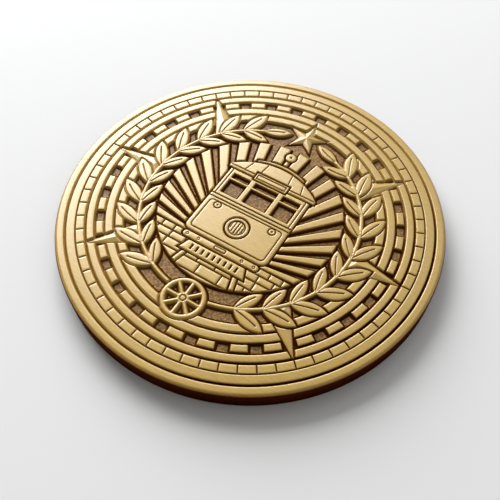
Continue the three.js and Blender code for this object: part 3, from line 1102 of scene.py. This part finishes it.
def at_side(tree, place):
    """Nought on the tops and one on the side, by the distance from the token's axis."""
    level = put(tree, "ShaderNodeVectorMath", {0: place, 1: (1.0, 1.0, 0.0)}, operation="MULTIPLY")
    reach = put(tree, "ShaderNodeVectorMath", {0: level.outputs[0]}, operation="LENGTH")
    limits = {"From Min": (token_radius - 0.6) * MM, "From Max": (token_radius - 0.1) * MM}
    return put(tree, "ShaderNodeMapRange", {"Value": reach.outputs["Value"], **limits}).outputs[0]


def brushed_and_blasted(tree, hairs, blast, in_field):
    """A normal with shallow brushing everywhere and pits in the field."""
    brushed = put(tree, "ShaderNodeBump", {"Height": hairs, "Strength": 0.5, "Distance": 0.00001})
    pits = arithmetic(tree, "MULTIPLY", blast, in_field)
    blasted = put(tree, "ShaderNodeBump", {"Height": pits, "Strength": 1.0, "Distance": 0.00025,
                                           "Normal": brushed.outputs["Normal"]})
    return blasted.outputs["Normal"]


def antique_brass():
    """Lacquered satin brass on the tops, amber to near-black patina down the walls, a blasted field.

    The side is painted a warmer, dark brown as shade and dark reflection, and the tops keep a trace of the
    field's grain.
    """
    material = bpy.data.materials.new("antique_brass")
    material.use_nodes = True
    tree = material.node_tree
    tree.nodes.clear()
    place = put(tree, "ShaderNodeTexCoord").outputs["Object"]
    finish_and_shade = put(tree, "ShaderNodeAttribute", attribute_name="finish_and_shade").outputs["Fac"]
    cloud, hairs, blast = surface_noise(tree, place)
    in_field = ramp(tree, finish_and_shade, [
        (0.1, grey(0.09)), (0.3, grey(0.0)), (0.6, grey(0.0)), (0.85, grey(1.0)),
    ])
    fleck = ramp(tree, hairs, [(0.3, grey(0.84)), (0.7, grey(1.09))])
    grain = ramp(tree, blast, [(0.36, grey(0.55)), (0.64, grey(1.4))])
    flecked = multiplied(tree, 1.0, patina_and_shade_colour(tree, finish_and_shade, cloud), fleck)
    # The side's painted shade is warmed to a red-brown
    side_shade_warmed = multiplied(tree, at_side(tree, place), flecked, (1.0, 0.9, 0.68, 1.0))
    metallic = ramp(tree, finish_and_shade, [
        (0.05, grey(0.32)), (0.25, grey(0.6)), (0.44, grey(0.15)), (0.54, grey(0.0)),
        (0.64, grey(1.0)), (0.82, grey(1.0)), (0.95, grey(0.3)),
    ])
    evenly_rough = ramp(tree, finish_and_shade, [
        (0.05, grey(0.55)), (0.3, grey(0.38)), (0.82, grey(0.4)), (0.95, grey(0.6)),
    ])
    uneven = arithmetic(tree, "MULTIPLY", hairs, 0.1)
    coat = ramp(tree, finish_and_shade, [
        (0.05, grey(0.87)), (0.3, grey(0.2)), (0.45, grey(0.0)), (0.82, grey(0.0)), (0.95, grey(0.18)),
    ])
    shader = put(tree, "ShaderNodeBsdfPrincipled", {
        "Base Color": multiplied(tree, in_field, side_shade_warmed, grain),
        "Metallic": metallic,
        "Roughness": arithmetic(tree, "ADD", evenly_rough, uneven),
        "Normal": brushed_and_blasted(tree, hairs, blast, in_field),
        "Specular IOR Level": 0.0,
        "Coat Weight": coat,
        "Coat Roughness": 0.33,
        "Coat IOR": 2.2,
    })
    put(tree, "ShaderNodeOutputMaterial", {"Surface": shader.outputs["BSDF"]})
    return material


def pale_floor():
    """Plain matt floor that reads as near white to the camera and in reflections."""
    material = bpy.data.materials.new("pale_floor")
    material.use_nodes = True
    shader = material.node_tree.nodes["Principled BSDF"]
    shader.inputs["Base Color"].default_value = (0.9, 0.9, 0.89, 1)
    shader.inputs["Roughness"].default_value = 0.9
    shader.inputs["Specular IOR Level"].default_value = 0.1
    return material


# Stage


def lay_floor():
    """A square floor, three metres wide, on which the token rests."""
    half = 1.5
    corners = [(-half, -half, 0), (half, -half, 0), (half, half, 0), (-half, half, 0)]
    mesh = bpy.data.meshes.new("floor")
    mesh.from_pydata(corners, [], [(0, 1, 2, 3)])
    mesh.materials.append(pale_floor())
    floor = bpy.data.objects.new("floor", mesh)
    bpy.context.scene.collection.objects.link(floor)


# The camera, as a pinhole fitted to the rings of the border
camera_azimuth = radians(31.8)
camera_elevation = radians(56.54)
camera_distance = 76.64
focal_pixels = 618.9
frame_pixels = 500
look_nearer = 6.08
look_right = -0.01
sensor_width = 36.0

toward_camera = Vector((sin(camera_azimuth), -cos(camera_azimuth), 0))
rightward = Vector((cos(camera_azimuth), sin(camera_azimuth), 0))
upward = Vector((0, 0, 1))


def place_camera():
    """A camera with the fitted pinhole's lens, aimed at a point in the plane of the tops."""
    data = bpy.data.cameras.new("camera")
    data.sensor_width = sensor_width
    data.lens = focal_pixels / frame_pixels * sensor_width
    data.clip_start = 0.001
    camera = bpy.data.objects.new("camera", data)
    target = toward_camera * look_nearer + rightward * look_right + upward * thickness
    back = toward_camera * cos(camera_elevation) + upward * sin(camera_elevation)
    camera.location = (target + back * camera_distance) * MM
    camera.rotation_euler = back.to_track_quat("Z", "Y").to_euler()
    bpy.context.scene.collection.objects.link(camera)
    bpy.context.scene.camera = camera


def add_lamp(name, azimuth, elevation, distance, size, radiance, colour):
    """A soft square lamp aimed at the token.

    azimuth is in degrees to the right of straight away from the camera; radiance is the brightness
    of its face, where 1 is a white surface in full light. Its power is radiance times pi times area.
    """
    data = bpy.data.lights.new(name, "AREA")
    data.size = size * MM
    data.energy = radiance * pi * (size * MM) ** 2
    data.color = colour
    lamp = bpy.data.objects.new(name, data)
    level = rightward * sin(radians(azimuth)) - toward_camera * cos(radians(azimuth))
    direction = level * cos(radians(elevation)) + upward * sin(radians(elevation))
    lamp.location = direction * distance * MM
    lamp.rotation_euler = direction.to_track_quat("Z", "Y").to_euler()
    bpy.context.scene.collection.objects.link(lamp)


def light_studio():
    """A wide window beyond the token and a little to the left, and a faint wall at the right."""
    add_lamp("window", azimuth=-21, elevation=29, distance=500, size=377, radiance=8.3,
             colour=(0.97, 0.98, 1.0))
    add_lamp("pale_wall", azimuth=34, elevation=45, distance=600, size=330, radiance=0.62,
             colour=(0.98, 0.99, 1.0))


def light_room():
    """A pale room, brightest beyond the token and to the right, and darkest at the near left."""
    world = bpy.data.worlds.new("room")
    world.use_nodes = True
    tree = world.node_tree
    bright_end = (-toward_camera + rightward * 0.5).normalized()
    facing = put(tree, "ShaderNodeTexCoord").outputs["Generated"]
    along = put(tree, "ShaderNodeVectorMath", {0: facing, 1: bright_end}, operation="DOT_PRODUCT")
    share = arithmetic(tree, "MULTIPLY_ADD", along.outputs["Value"], 0.5, 0.5)
    tone = ramp(tree, share, [(0.0, (0.09, 0.088, 0.084)), (1.0, (0.52, 0.52, 0.512))])
    background = tree.nodes["Background"]
    tree.links.new(tone, background.inputs["Color"])
    background.inputs["Strength"].default_value = 1.0
    bpy.context.scene.world = world


place_camera()
lay_floor()
light_studio()
light_room()
brass = antique_brass()
pieces = [token_rim(), token_brick_ring(), token_block_ring(), token_inner_band(), *token_field()]
for piece in pieces:
    piece.data.materials.append(brass)

bpy.context.scene.view_settings.view_transform = "Standard"
bpy.context.view_layer.update()
